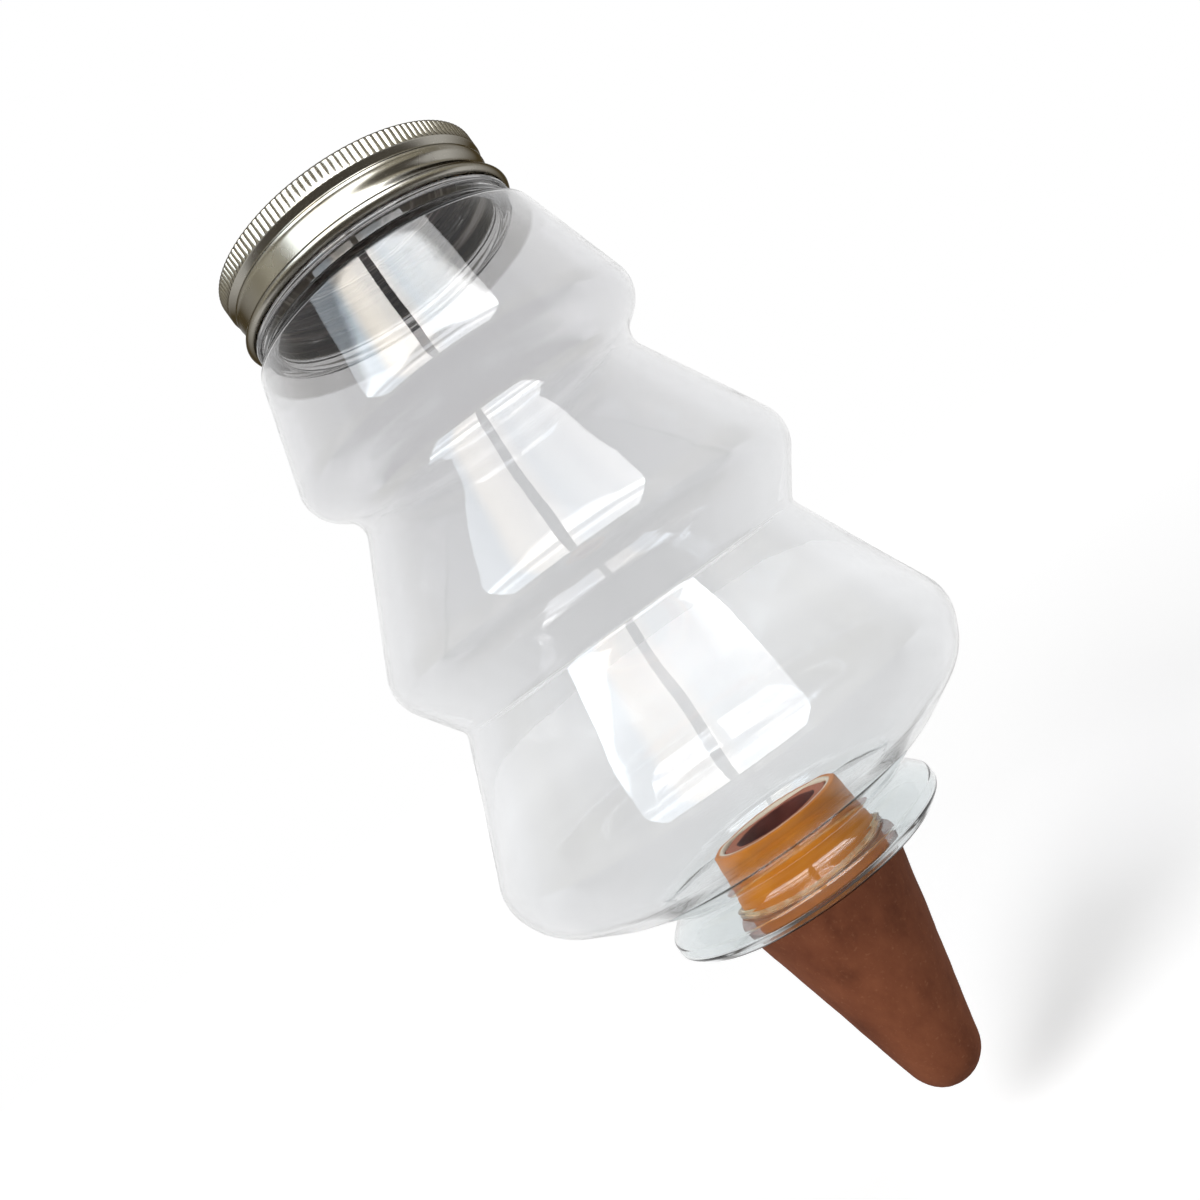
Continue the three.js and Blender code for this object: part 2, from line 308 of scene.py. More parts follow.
def radiusFrom(tree, places):
    # the distance from the axis
    flat = addNode(tree, "ShaderNodeVectorMath", {"operation": "MULTIPLY"})
    flat.inputs[1].default_value = (1, 1, 0)
    radius = addNode(tree, "ShaderNodeVectorMath", {"operation": "LENGTH"})
    tree.links.new(places, flat.inputs[0])
    tree.links.new(flat.outputs["Vector"], radius.inputs[0])
    return radius.outputs["Value"]


def letLampsThrough(tree, shader, colour):
    # clear pieces cast a faint shadow, as clear plastic does, and light that is caught in a wall gets out
    paths = addNode(tree, "ShaderNodeLightPath")
    caught = addNode(tree, "ShaderNodeMath", {"operation": "GREATER_THAN"}, {1: caughtAfter})
    through = addNode(tree, "ShaderNodeMath", {"operation": "MAXIMUM"})
    tree.links.new(paths.outputs["Ray Depth"], caught.inputs[0])
    tree.links.new(caught.outputs[0], through.inputs[0])
    tree.links.new(paths.outputs["Is Shadow Ray"], through.inputs[1])
    clear = addNode(tree, "ShaderNodeBsdfTransparent", inputs={"Color": (*colour, 1)})
    either = addNode(tree, "ShaderNodeMixShader")
    tree.links.new(through.outputs[0], either.inputs["Fac"])
    tree.links.new(shader.outputs["BSDF"], either.inputs[1])
    tree.links.new(clear.outputs["BSDF"], either.inputs[2])
    tree.links.new(either.outputs["Shader"], tree.nodes["Material Output"].inputs["Surface"])


def bumpNode(tree, height, strength, distance):
    bump = addNode(tree, "ShaderNodeBump", inputs={"Strength": strength, "Distance": distance * mm})
    tree.links.new(height, bump.inputs["Height"])
    return bump.outputs["Normal"]


def shineAndGrain(tree, shader, places, values):
    # the shine and the fine bumps of a soft piece, from its own dictionary
    shine = noiseNode(tree, places, *values["shine"])
    tree.links.new(rangeNode(tree, shine, *values["roughness"]), shader.inputs["Roughness"])
    grain = noiseNode(tree, places, *values["grain"])
    tree.links.new(bumpNode(tree, grain, *values["grainBump"]), shader.inputs["Normal"])


# Camera

view = {
    "distance": 270.6,  # from the axis, worked out with the lens from the ellipses of the rings
    "height": 73.1,  # over the foot's underside
    "lens": 34.5,
    "sensor": 36,
    "roll": 35.8,  # degrees that the waterer leans in the picture
    "shift": (-0.0252, 0.0137),
    "nearest": 0.01,  # metres
}


def makeCamera():
    deselectAll()
    bpy.ops.object.camera_add(location=(0, -view["distance"] * mm, view["height"] * mm))
    camera = bpy.context.object
    roll = math.radians(view["roll"])
    right = Vector((math.cos(roll), 0, -math.sin(roll)))
    up = Vector((math.sin(roll), 0, math.cos(roll)))
    back = Vector((0, -1, 0))
    camera.rotation_euler = Matrix((right, up, back)).transposed().to_euler()
    camera.data.lens = view["lens"]
    camera.data.sensor_width = view["sensor"]
    camera.data.shift_x, camera.data.shift_y = view["shift"]
    camera.data.clip_start = view["nearest"]
    bpy.context.scene.camera = camera


makeCamera()
print("camera set")


# Bottle, blown in clear plastic

bottle = {
    "corners": [  # radius, height and fillet from the foot's edge up to the shoulder
        (33.6, 0, 2),
        (36.3, 2.4, 1.6),
        (36.1, 5.2, 1.2),
        (30.4, 10.7, 3.2),
        (46.6, 18.0, 9.4),
        (57.9, 24.9, 14.5),
        (63.0, 35.8, 12.9),
        (46.4, 73.1, 2),
        (56.8, 88.2, 10.4),
        (36.9, 126.6, 6.3),
        (47.2, 134.3, 6.9),
        (38.2, 164.8, 2),
    ],
    "wall": 0.9,
    "hole": 19.0,
    "neckZ": 168.0,
    "neckBase": 34.3,
    "neckFillet": 0.8,
    "neckRadius": 32.4,
    "neckBore": 30.8,
    "neckCrest": 33.35,
    "beadRadius": 35.3,
    "beadHeight": 1.3,
    "beadDrop": 0.3,  # under the lid's lower edge
    "beadFillets": (0.4, 0.5, 0.3),
    "boreFillet": 1.0,
    "threadTurns": 1.25,
    "threadWidth": 2.5,
    "rimEdge": 0.5,
    "rimHeight": 1.5,
    "rowSpacing": 2.2,
    "neckRowSpacing": 0.45,
    "sectors": 22,
    "sectorSides": 8,
    "waves": (  # depth, times round, height of one wave and offset of each slow wave in the wall
        (0.11, 3, 61, 0.4),
        (0.09, 5, 37, 1.9),
        (0.05, 8, 23, 3.1),
        (0.02, 14, 13, 5.2),
    ),
    "calmTop": 8,  # the waves fade over this height under the shoulder
    "calmFoot": 4,
    "calmRise": 0.75,  # the share of their depth that is gone at the shoulder
    "smoothing": 40,
}


def bottlePiece():
    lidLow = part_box("lid_shell")[0].z / mm
    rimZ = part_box("bottle")[1].z / mm
    beadTop = lidLow - bottle["beadDrop"]
    beadLow = beadTop - bottle["beadHeight"]
    rimLow = rimZ - bottle["rimHeight"]
    wall, edge = bottle["wall"], bottle["rimEdge"]
    lowFillet, topFillet, rootFillet = bottle["beadFillets"]
    body = roundedLine([
        (bottle["hole"], 0, 0),
        *bottle["corners"],
        (bottle["neckBase"], bottle["neckZ"], bottle["neckFillet"]),
        (bottle["neckBase"], beadLow, 0),
    ])
    inside = [point for point in insetLine(body, wall) if point.y < bottle["neckZ"] - wall / 2]
    body = spacedLine(body, bottle["rowSpacing"])
    inside = spacedLine(inside, bottle["rowSpacing"])
    bead = roundedLine([
        (bottle["neckBase"], beadLow, 0),
        (bottle["beadRadius"], beadLow, lowFillet),
        (bottle["beadRadius"], beadTop, topFillet),
        (bottle["neckRadius"], beadTop, rootFillet),
        (bottle["neckRadius"], rimLow, 0),
    ], arcStep=20)
    neck = roundedLine([
        (bottle["neckRadius"], rimLow, 0),
        (bottle["neckRadius"], rimZ, edge),
        (bottle["neckBore"], rimZ, edge),
        (bottle["neckBore"], bottle["neckZ"], bottle["boreFillet"]),
        (inside[-1].x, inside[-1].y, 0),
    ], arcStep=20)
    bead = spacedLine(bead, bottle["neckRowSpacing"])
    neck = spacedLine(neck, bottle["rowSpacing"])
    around = body + bead[1:] + neck[1:] + inside[::-1][1:] + [body[0]]
    piece = spinLine("bottle_blown", around, bottle["sectors"], bottle["sectorSides"])

    startZ = lidLow + thread["startHeight"]
    stand = bottle["neckCrest"] - bottle["neckRadius"]

    def ridge(radius, angle, height):
        onNeck = (np.abs(radius - bottle["neckRadius"]) < onFace) & (height > beadTop)
        lift = threadStand(height, angle, startZ, thread["startAngle"] - math.pi,
                           bottle["threadTurns"], bottle["threadWidth"])
        return np.where(onNeck, stand * lift, 0)

    def wave(radius, angle, height):
        # both faces of the wall move together, so it keeps its thickness
        top = bottle["corners"][-1][1]
        calm = np.clip((top - height) / bottle["calmTop"], 0, 1) * np.clip(height / bottle["calmFoot"], 0, 1)
        calm = calm * (1 - bottle["calmRise"] * height / top)
        swell = sum(depth * np.sin(times * angle + offset) * np.sin(fullTurn * height / rise + offset)
                    for depth, times, rise, offset in bottle["waves"])
        return calm * swell

    moveOut(piece, ridge)
    moveOut(piece, wave)
    smooth(piece, bottle["smoothing"])
    return piece


plastic = {
    "tints": ((0.35, (0.83, 0.835, 0.843)), (0.65, (0.86, 0.865, 0.872))),
    # painted shade: the body's tint darkens higher up, towards the neck and the lid
    "upperShadeTint": (0.78, 0.78, 0.79),
    "upperFrom": (60, 140),
    "edgeTint": (0.975, 0.98, 0.985),  # painted light: the plastic's tint is paler where its wall turns away
    "neckShadeTint": (0.5, 0.495, 0.49),  # painted shade under the lid: the neck is tinted dark grey, over its thicker plastic
    "neckFrom": (164.2, 164.35),
    "mouthTint": (0.74, 0.74, 0.74),  # and less dark again up in the lid
    "mouthFrom": (170.0, 174.0),
    "footTint": (0.85, 0.875, 0.88),  # and the thick foot a little green
    "footFrom": (10, 17),
    "shadow": (0.96, 0.96, 0.965),  # lamp light that each face lets through
    "mottle": (22, 2),  # scale and detail of the noise, here and below
    "ripples": (45, 3),
    "rippleStretch": (1, 1, 1.8),
    "rippleBump": (0.1, 0.3),  # strength, and depth in mm
    "scuffs": (55, 3),
    "scuffFrom": (0.35, 0.7),
    "roughness": (0.0, 0.012),
    "refraction": 1.55,
}


def clearPlastic():
    material, tree, shader = newMaterial("clear_plastic")
    places = objectPlaces(tree)
    ripples = noiseNode(tree, objectPlaces(tree, plastic["rippleStretch"]), *plastic["ripples"])
    tree.links.new(bumpNode(tree, ripples, *plastic["rippleBump"]), shader.inputs["Normal"])
    tint = rampNode(tree, noiseNode(tree, places, *plastic["mottle"]), plastic["tints"])
    height = placeAlong(tree, places, "Z")

    def above(reach):
        return rangeNode(tree, height, 0, 1, reach[0] * mm, reach[1] * mm)

    # painted shade: darker tint higher up the body
    tint = mixNode(tree, above(plastic["upperFrom"]), tint, plastic["upperShadeTint"])
    # painted light: paler tint where the wall turns away
    turned = addNode(tree, "ShaderNodeLayerWeight", inputs={"Blend": 0.3})
    tint = mixNode(tree, turned.outputs["Facing"], tint, plastic["edgeTint"])
    # painted shade under the lid: the neck's dark tint
    tint = mixNode(tree, above(plastic["neckFrom"]), tint, plastic["neckShadeTint"])
    tint = mixNode(tree, above(plastic["mouthFrom"]), tint, plastic["mouthTint"])
    tint = mixNode(tree, above(plastic["footFrom"][::-1]), tint, plastic["footTint"])
    tree.links.new(tint, shader.inputs["Base Color"])
    scuffs = noiseNode(tree, places, *plastic["scuffs"])
    roughness = rangeNode(tree, scuffs, *plastic["roughness"], *plastic["scuffFrom"])
    tree.links.new(roughness, shader.inputs["Roughness"])
    shader.inputs["IOR"].default_value = plastic["refraction"]
    shader.inputs["Transmission Weight"].default_value = 1
    letLampsThrough(tree, shader, plastic["shadow"])
    return material


blown = bottlePiece()
blown.data.materials.append(clearPlastic())
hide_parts("bottle")
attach(blown, "bottle_body")
print("bottle made:", len(blown.data.polygons), "faces")


# Lid, pressed from satin sheet metal

lid = {
    "radius": 35.0,
    "sheet": 0.45,
    "edge": 1.0,
    "panelRadius": 30.0,
    "panelDrop": 0.4,
    "knurlHeight": 3.5,
    "knurlDepth": 0.34,
    "knurlReach": 0.7,  # how deep under the grip's face the ribs are pressed
    "knurlFades": (0.5, 0.7),  # heights over which the ribs fade in below and out above
    "ribs": 140,
    "facesPerRib": 8,
    "stepRadius": 33.85,
    "stepRise": (0.3, 0.6),  # over the band's top, outside and inside
    "pressFillet": 0.3,
    "panelFillet": 0.4,
    "panelSlope": 0.6,
    "gripInset": (0.15, 0.1),  # the step's upper corner, in from the grip and under it
    "gripFillet": 0.1,
    "cornerDrop": 2.5,  # the corner inside the grip
    "cornerInset": 0.4,
    "cornerFillet": 0.8,
    "bandRadius": 34.5,
    "bandTop": 8.5,  # over the lid's lower edge
    "bandBottom": 2.5,
    "shoulderBead": 0.12,
    "shoulderFillets": (0.4, 0.45),
    "shoulderSpan": (1.1, 0.75, 0.1),  # under the band's top: where the bead starts, is full and ends
    "threadDepth": 1.3,
    "threadWidth": 4.2,
    "threadTurns": 0.75,
    "rollRadius": 1.25,
    "rollReach": 36.45,
    "rollStart": -0.98,  # half turns, where the sheet's edge is rolled in
    "rollStep": 22,
    "rowSpacings": (0.42, 1.2, 0.7),  # on the band, on the grip and inside the band
    "smoothing": 38,
    "metal": ((0.3, (0.43, 0.41, 0.36)), (0.7, (0.5, 0.48, 0.43))),
    "metalEdgeShade": (0.1, 0.088, 0.07),  # painted shade: the metal's colour darkens where it turns away
    "awayFrom": (0.28, 0.68),
    "awayShare": 0.92,
    "edgeTint": (0.3, 0.28, 0.25),
    "metalMottle": (45, 3),
    "metalGrain": (150, 3),
    "metalRoughness": (0.23, 0.29),
    "rings": (1500, 2),  # fine rings from the press, the same all round
    "ringStretch": (0.02, 0.02, 1),
    "ringBump": (0.05, 0.02),
    # the lid's inside is lacquered; its pale rings are painted highlights
    "lacquerAndHighlights": ((0.4, (0.07, 0.05, 0.042)), (0.5, (0.24, 0.19, 0.16)), (0.6, (0.85, 0.8, 0.75))),
    "lacquerHighlightRings": (500, 3),
    "lacquerStretch": (0.03, 0.03, 1),
    "lacquerGrain": (300, 2),
    "lacquerRoughness": (0.3, 0.42),
    "lacquerMetal": 0.8,
    "lacquerHeights": (2.2, 0.6),  # from over the lower edge up to under the top
    "lacquerReach": 34.3,
    "panelDepth": 1.6,  # faces that look down and lie this near to the top are the panel's
}


def lidPiece():
    low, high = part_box("lid_shell")[0].z / mm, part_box("lid_shell")[1].z / mm
    knurlTop = high - lid["edge"]
    knurlLow = knurlTop - lid["knurlHeight"]
    bandTop, bandLow = low + lid["bandTop"], low + lid["bandBottom"]
    band, bead, sheet = lid["bandRadius"], lid["shoulderBead"], lid["sheet"]
    beadLow, beadFull, beadEnd = (bandTop - drop for drop in lid["shoulderSpan"])
    stepRise, innerRise = lid["stepRise"]
    pressFillet, panelFillet = lid["pressFillet"], lid["panelFillet"]
    panelZ = high - lid["panelDrop"]
    bandSpacing, gripSpacing, innerSpacing = lid["rowSpacings"]
    lowFillet, topFillet = lid["shoulderFillets"]
    inset, under = lid["gripInset"]
    rollCentre = Vector((lid["rollReach"] - lid["rollRadius"], low + lid["rollRadius"]))
    meet = math.pi - math.acos((rollCentre.x - band) / lid["rollRadius"])
    roll = arcLine(rollCentre, lid["rollRadius"], math.pi * lid["rollStart"], meet, lid["rollStep"])
    wall = spacedLine([Vector((band, bandLow)), Vector((band, beadLow))], bandSpacing)
    upper = roundedLine([
        (band, beadLow, 0),
        (band + bead, beadFull, lowFillet),
        (band + bead, beadEnd, topFillet),
        (lid["stepRadius"], bandTop + stepRise, pressFillet),
        (lid["radius"] - inset, knurlLow - under, pressFillet),
        (lid["radius"], knurlLow, lid["gripFillet"]),
        (lid["radius"], high, lid["edge"]),
        (lid["panelRadius"] + lid["panelSlope"], high, panelFillet),
        (lid["panelRadius"], panelZ, panelFillet),
        (0, panelZ, 0),
    ], arcStep=24)
    # only the grip's upright face gets more rows
    grip = lid["radius"] - onFace / 2
    knurlRows = [point for point in spacedLine(upper, gripSpacing) if point.x > grip]
    others = [point for point in upper if point.x <= grip]
    split = next(index for index, point in enumerate(others) if point.y > knurlLow + 0.5)
    outside = wall + others[1:split] + knurlRows + others[split:]
    inner = roundedLine([
        (band - sheet, bandLow, 0),
        (band - sheet, bandTop, pressFillet),
        (lid["stepRadius"] - sheet, bandTop + innerRise, pressFillet),
        (lid["stepRadius"] - sheet, high - lid["cornerDrop"], 0),
        (lid["radius"] - lid["cornerInset"] - sheet, high - sheet, lid["cornerFillet"]),
        (lid["panelRadius"] - sheet, panelZ - sheet, pressFillet),
        (0, panelZ - sheet, 0),
    ], arcStep=30)
    inner = spacedLine(inner[:2], innerSpacing) + inner[2:]
    piece = spinLine("lid_pressed", inner[::-1] + roll + outside[1:], lid["ribs"], lid["facesPerRib"])

    def press(radius, angle, height):
        stand = threadStand(height, angle, low + thread["startHeight"], thread["startAngle"],
                            lid["threadTurns"], lid["threadWidth"])
        groove = lid["threadDepth"] * stand
        groove *= np.clip(np.minimum(height - bandLow, bandTop - height) / sheet, 0, 1)
        across = (angle * lid["ribs"] / fullTurn) % 1 * 2 - 1
        rib = lid["knurlDepth"] * across ** 2
        fadeIn, fadeOut = lid["knurlFades"]
        fade = np.clip((height - knurlLow) / fadeIn, 0, 1) * np.clip((high + 0.1 - height) / fadeOut, 0, 1)
        onKnurl = (radius > lid["radius"] - lid["knurlReach"]) & (height > knurlLow - 0.05)
        return -groove - np.where(onKnurl, rib * fade, 0)

    moveOut(piece, press)
    smooth(piece, lid["smoothing"])
    return piece


def satinMetal():
    material, tree, shader = newMaterial("satin_metal")
    shader.inputs["Metallic"].default_value = 1
    places = objectPlaces(tree)
    rings = noiseNode(tree, objectPlaces(tree, lid["ringStretch"]), *lid["rings"])
    colour = rampNode(tree, noiseNode(tree, places, *lid["metalMottle"]), lid["metal"])
    # painted shade: darker colour where the metal turns away
    turned = addNode(tree, "ShaderNodeLayerWeight", inputs={"Blend": 0.5})
    away = rangeNode(tree, turned.outputs["Facing"], 0, lid["awayShare"], *lid["awayFrom"])
    tree.links.new(mixNode(tree, away, colour, lid["metalEdgeShade"]), shader.inputs["Base Color"])
    shader.inputs["Specular Tint"].default_value = (*lid["edgeTint"], 1)
    grain = noiseNode(tree, places, *lid["metalGrain"])
    tree.links.new(rangeNode(tree, grain, *lid["metalRoughness"], 0.3, 0.7), shader.inputs["Roughness"])
    tree.links.new(bumpNode(tree, rings, *lid["ringBump"]), shader.inputs["Normal"])
    return material


def lidLacquer():
    material, tree, shader = newMaterial("lid_lacquer")
    shader.inputs["Metallic"].default_value = lid["lacquerMetal"]
    # pale rings on the lacquer: painted highlights
    rings = noiseNode(tree, objectPlaces(tree, lid["lacquerStretch"]), *lid["lacquerHighlightRings"])
    tree.links.new(rampNode(tree, rings, lid["lacquerAndHighlights"]), shader.inputs["Base Color"])
    grain = noiseNode(tree, objectPlaces(tree), *lid["lacquerGrain"])
    tree.links.new(rangeNode(tree, grain, *lid["lacquerRoughness"]), shader.inputs["Roughness"])
    return material


pressed = lidPiece()
pressed.data.materials.append(satinMetal())
pressed.data.materials.append(lidLacquer())
lidLow, lidHigh = (corner.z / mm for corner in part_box("lid_shell"))
lacquerLow, lacquerHigh = lidLow + lid["lacquerHeights"][0], lidHigh - lid["lacquerHeights"][1]
for face in pressed.data.polygons:
    centre, reach, inwards = faceFacts(face)
    under = face.normal.z < -0.5 and centre.z > lidHigh - lid["panelDepth"]
    if (inwards or under) and lacquerLow < centre.z < lacquerHigh and reach < lid["lacquerReach"]:
        face.material_index = 1
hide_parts("lid_shell")
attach(pressed, "lid_body")
print("lid made:", len(pressed.data.polygons), "faces")


# Sealing disc inside the lid

liner = {
    "ringRadii": (9, 17, 24.5),
    "ringWidth": 0.9,
    "ringDepth": 0.18,
    "ringFillet": 0.15,
    "edge": 0.25,
    "sectors": 16,
    "sectorSides": 8,
    "smoothing": 40,
    # dark seal with pale and dark rings by radius; the pale rings are painted highlights
    "colours": ((0.38, (0.04, 0.03, 0.026)), (0.52, (0.12, 0.09, 0.078)), (0.64, (0.5, 0.45, 0.41))),
    "rings": (260, 3),
    "shine": (400, 2),
    "roughness": (0.28, 0.45),
    "grain": (900, 2),
    "grainBump": (0.2, 0.05),
}


def linerPiece():
    low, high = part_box("lid_liner")
    radius, bottom, top = high.x / mm, low.z / mm, high.z / mm
    half, groove, fillet = liner["ringWidth"] / 2, bottom + liner["ringDepth"], liner["ringFillet"]
    corners = [(0, bottom, 0)]
    for ring in liner["ringRadii"]:
        corners += [(ring - half, bottom, fillet), (ring - half / 2, groove, fillet),
                    (ring + half / 2, groove, fillet), (ring + half, bottom, fillet)]
    corners += [(radius, bottom, liner["edge"]), (radius, top, liner["edge"]), (0, top, 0)]
    piece = spinLine("liner_disc", roundedLine(corners, arcStep=20), liner["sectors"], liner["sectorSides"])
    smooth(piece, liner["smoothing"])
    return piece


def darkSeal():
    material, tree, shader = newMaterial("dark_seal")
    places = objectPlaces(tree)
    # rings by radius; the pale ones are painted highlights
    rings = noiseNode(tree, radiusFrom(tree, places), *liner["rings"])
    tree.links.new(rampNode(tree, rings, liner["colours"]), shader.inputs["Base Color"])
    shineAndGrain(tree, shader, places, liner)
    return material


disc = linerPiece()
disc.data.materials.append(darkSeal())
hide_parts("lid_liner")
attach(disc, "liner_body")
print("liner made:", len(disc.data.polygons), "faces")


# Rubber sleeve in the foot

sleeve = {
    "bore": 14.8,
    "top": 17.4,
    "collar": 1.2,
    "collarFillet": 0.4,
    "baseFillet": 0.2,
    "lip": 0.7,
    "sectors": 18,
    "sectorSides": 8,
    "unevenness": (0.12, 9),  # depth and size
    "smoothing": 40,
    "mottle": (120, 4),
    "colours": ((0.3, (0.54, 0.165, 0.006)), (0.7, (0.64, 0.215, 0.01))),
    "lipColour": (0.74, 0.66, 0.52),  # the inner lip is paler towards the bore and near the top
    "lipRadii": (15.7, 16.1),
    "lipDrops": (1.4, 0.8),  # under the top
    "shine": (500, 2),
    "roughness": (0.35, 0.5),
    "grain": (700, 3),
    "grainBump": (0.2, 0.05),
    "gloss": 0.35,
}


def sleevePiece():
    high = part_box("seal_sleeve")[1]
    base, height = high.x / mm, high.z / mm
    outside = roundedLine([
        (sleeve["bore"], 0, 0),
        (base, 0, sleeve["baseFillet"]),
        (base, sleeve["collar"], sleeve["collarFillet"]),
        (sleeve["top"], height, sleeve["lip"]),
        (sleeve["bore"], height, sleeve["lip"]),
        (sleeve["bore"], 0, 0),
    ], arcStep=12)
    piece = spinLine("sleeve_rubber", spacedLine(outside, 1.2), sleeve["sectors"], sleeve["sectorSides"])
    wrinkle(piece, *sleeve["unevenness"])
    smooth(piece, sleeve["smoothing"])
    return piece


def orangeRubber():
    material, tree, shader = newMaterial("orange_rubber")
    places = objectPlaces(tree)
    colour = rampNode(tree, noiseNode(tree, places, *sleeve["mottle"]), sleeve["colours"])
    lip = rangeNode(tree, radiusFrom(tree, places), 1, 0, *(radius * mm for radius in sleeve["lipRadii"]))
    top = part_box("seal_sleeve")[1].z
    lipHeights = (top - drop * mm for drop in sleeve["lipDrops"])
    lip = timesNode(tree, lip, rangeNode(tree, placeAlong(tree, places, "Z"), 0, 1, *lipHeights))
    tree.links.new(mixNode(tree, lip, colour, sleeve["lipColour"]), shader.inputs["Base Color"])
    shineAndGrain(tree, shader, places, sleeve)
    shader.inputs["Specular IOR Level"].default_value = sleeve["gloss"]
    return material


rubber = sleevePiece()
rubber.data.materials.append(orangeRubber())
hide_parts("seal_sleeve")
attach(rubber, "bottle_body")
print("sleeve made:", len(rubber.data.polygons), "faces")


# Bead of sealant round the sleeve, with bubbles in it

sealant = {
    "radius": 19.0,
    "height": 0.9,
    "film": 0.1,
    "filmFrom": 19.45,
    "filmEdge": 20.4,
    "unevenness": (0.22, 2.6),  # depth and size
    "bubbles": 110,
    "bubbleRadius": (0.08, 0.18),
    "bubbleReach": (0.1, 0.4),  # from the bead's inner face
    "bubbleHeight": (0.3, 0.8),
    "bubbleSquash": (0.7, 1),
    "seed": 5,
    "sectors": 20,
    "sectorSides": 9,
    "smoothing": 60,
    "mottle": (260, 3),
    "colours": ((0.35, (0.78, 0.52, 0.22)), (0.65, (0.95, 0.86, 0.64))),
    "filmColour": (0.95, 0.93, 0.9),
    "filmColourFrom": (19.5, 20),
    "clearFrom": (19.4, 19.8),
    "clearness": 0.7,  # of the bead; the film is quite clear
    "shine": (500, 2),
    "roughness": (0.08, 0.3),
    "grain": (800, 3),
    "grainBump": (0.4, 0.12),
    "refraction": 1.38,
    "shadow": (0.9, 0.85, 0.75),
}


def sealantPiece():
    low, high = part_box("sealant_bead")
    outer, bottom = min(high.x / mm, sealant["filmEdge"]), low.z / mm
    inner = sealant["radius"]
    line = roundedLine([
        (inner, bottom, 0),
        (outer, bottom, 0.1),
        (outer, bottom + sealant["film"], 0.15),
        (sealant["filmFrom"], bottom + sealant["film"] + 0.1, 0.9),
        (inner + 0.2, bottom + sealant["height"], 0.2),
        (inner, bottom + sealant["height"], 0),
        (inner, bottom, 0),
    ], arcStep=15)
    piece = spinLine("sealant_ring", spacedLine(line, 0.4), sealant["sectors"], sealant["sectorSides"])
    wrinkle(piece, *sealant["unevenness"])
    random = np.random.default_rng(sealant["seed"])
    parts = [piece]
    for bubble in range(sealant["bubbles"]):
        turn = random.uniform(0, fullTurn)
        size = random.uniform(*sealant["bubbleRadius"])
        reach = inner + random.uniform(*sealant["bubbleReach"])
        height = bottom + random.uniform(*sealant["bubbleHeight"])
        deselectAll()
        bpy.ops.mesh.primitive_ico_sphere_add(
            subdivisions=2, radius=size * mm,
            location=(reach * math.sin(turn) * mm, -reach * math.cos(turn) * mm, height * mm))
        ball = bpy.context.object
        ball.scale = (1, 1, random.uniform(*sealant["bubbleSquash"]))
        bpy.ops.object.transform_apply(location=True, rotation=True, scale=True)
        ball.data.flip_normals()  # a bubble is a hollow
        parts.append(ball)
    deselectAll()
    for part in parts:
        part.select_set(True)
    bpy.context.view_layer.objects.active = piece
    bpy.ops.object.join()
    smooth(piece, sealant["smoothing"])
    return piece


def clearSealant():
    material, tree, shader = newMaterial("clear_sealant")
    places = objectPlaces(tree)
    colour = rampNode(tree, noiseNode(tree, places, *sealant["mottle"]), sealant["colours"])
    radius = radiusFrom(tree, places)

    def outwards(reach, low):
        return rangeNode(tree, radius, low, 1, reach[0] * mm, reach[1] * mm)

    film = outwards(sealant["filmColourFrom"], 0)
    tree.links.new(mixNode(tree, film, colour, sealant["filmColour"]), shader.inputs["Base Color"])
    shineAndGrain(tree, shader, places, sealant)
    shader.inputs["IOR"].default_value = sealant["refraction"]
    clear = outwards(sealant["clearFrom"], sealant["clearness"])
    tree.links.new(clear, shader.inputs["Transmission Weight"])
    letLampsThrough(tree, shader, sealant["shadow"])
    return material


glue = sealantPiece()
glue.data.materials.append(clearSealant())
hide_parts("sealant_bead")
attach(glue, "bottle_body")
print("sealant made:", len(glue.data.polygons), "faces")


# Hollow terracotta spike

spike = {
    "neckRadius": 14.5,
    "neckEdge": 0.7,
    "rootFillet": 0.4,
    "bore": 11.0,
    "shoulderDrop": 2.5,
    "shoulderEdge": 0.8,
    "tipRadius": 9.8,
    "wall": 4.6,
    "seat": 0.3,
    "sectors": 24,
    "sectorSides": 8,
    "rowSpacing": 1.6,
    "unevenness": ((0.35, 14), (0.1, 2.5)),  # depth and size of each
    "smoothing": 45,
    "colours": (
        (0.3, (0.105, 0.033, 0.016)),
        (0.45, (0.165, 0.053, 0.025)),
        (0.6, (0.2, 0.066, 0.031)),
        (0.75, (0.25, 0.09, 0.045)),
    ),
    "streaks": (90, 6, 0.62),  # scale, detail and roughness of the noise
    "streakStretch": (1, 1, 0.6),
    "dampColour": (0.12, 0.036, 0.018),
    "dampPatches": (38, 3),
    "dampStretch": (1, 1, 0.5),
    "dampShare": (0, 0.6, 0.45, 0.7),  # the least and the most, and the noise where they are reached
    "speckColour": (0.3, 0.125, 0.07),
    "specks": (1100, 2),
    "speckShare": (0, 0.4, 0.6, 0.8),
    "neckLitColour": (0.46, 0.17, 0.105),  # painted light: the neck and the shoulder's top are paler, as where light falls on them from above
    "neckFrom": (-3.0, -2.5),
    "neckShare": 0.8,
    "grain": (1100, 5, 0.65),
    "grainBump": (0.5, 0.12),
    "roughness": (0.75, 0.95),
    "gloss": 0.15,
    "boreMottle": (120, 4),
    "boreGrain": (600, 3),
    "boreColours": ((0.3, (0.07, 0.012, 0.008)), (0.7, (0.12, 0.022, 0.014))),
    "boreRoughness": (0.55, 0.8),
    "boreMargin": 0.2,
}


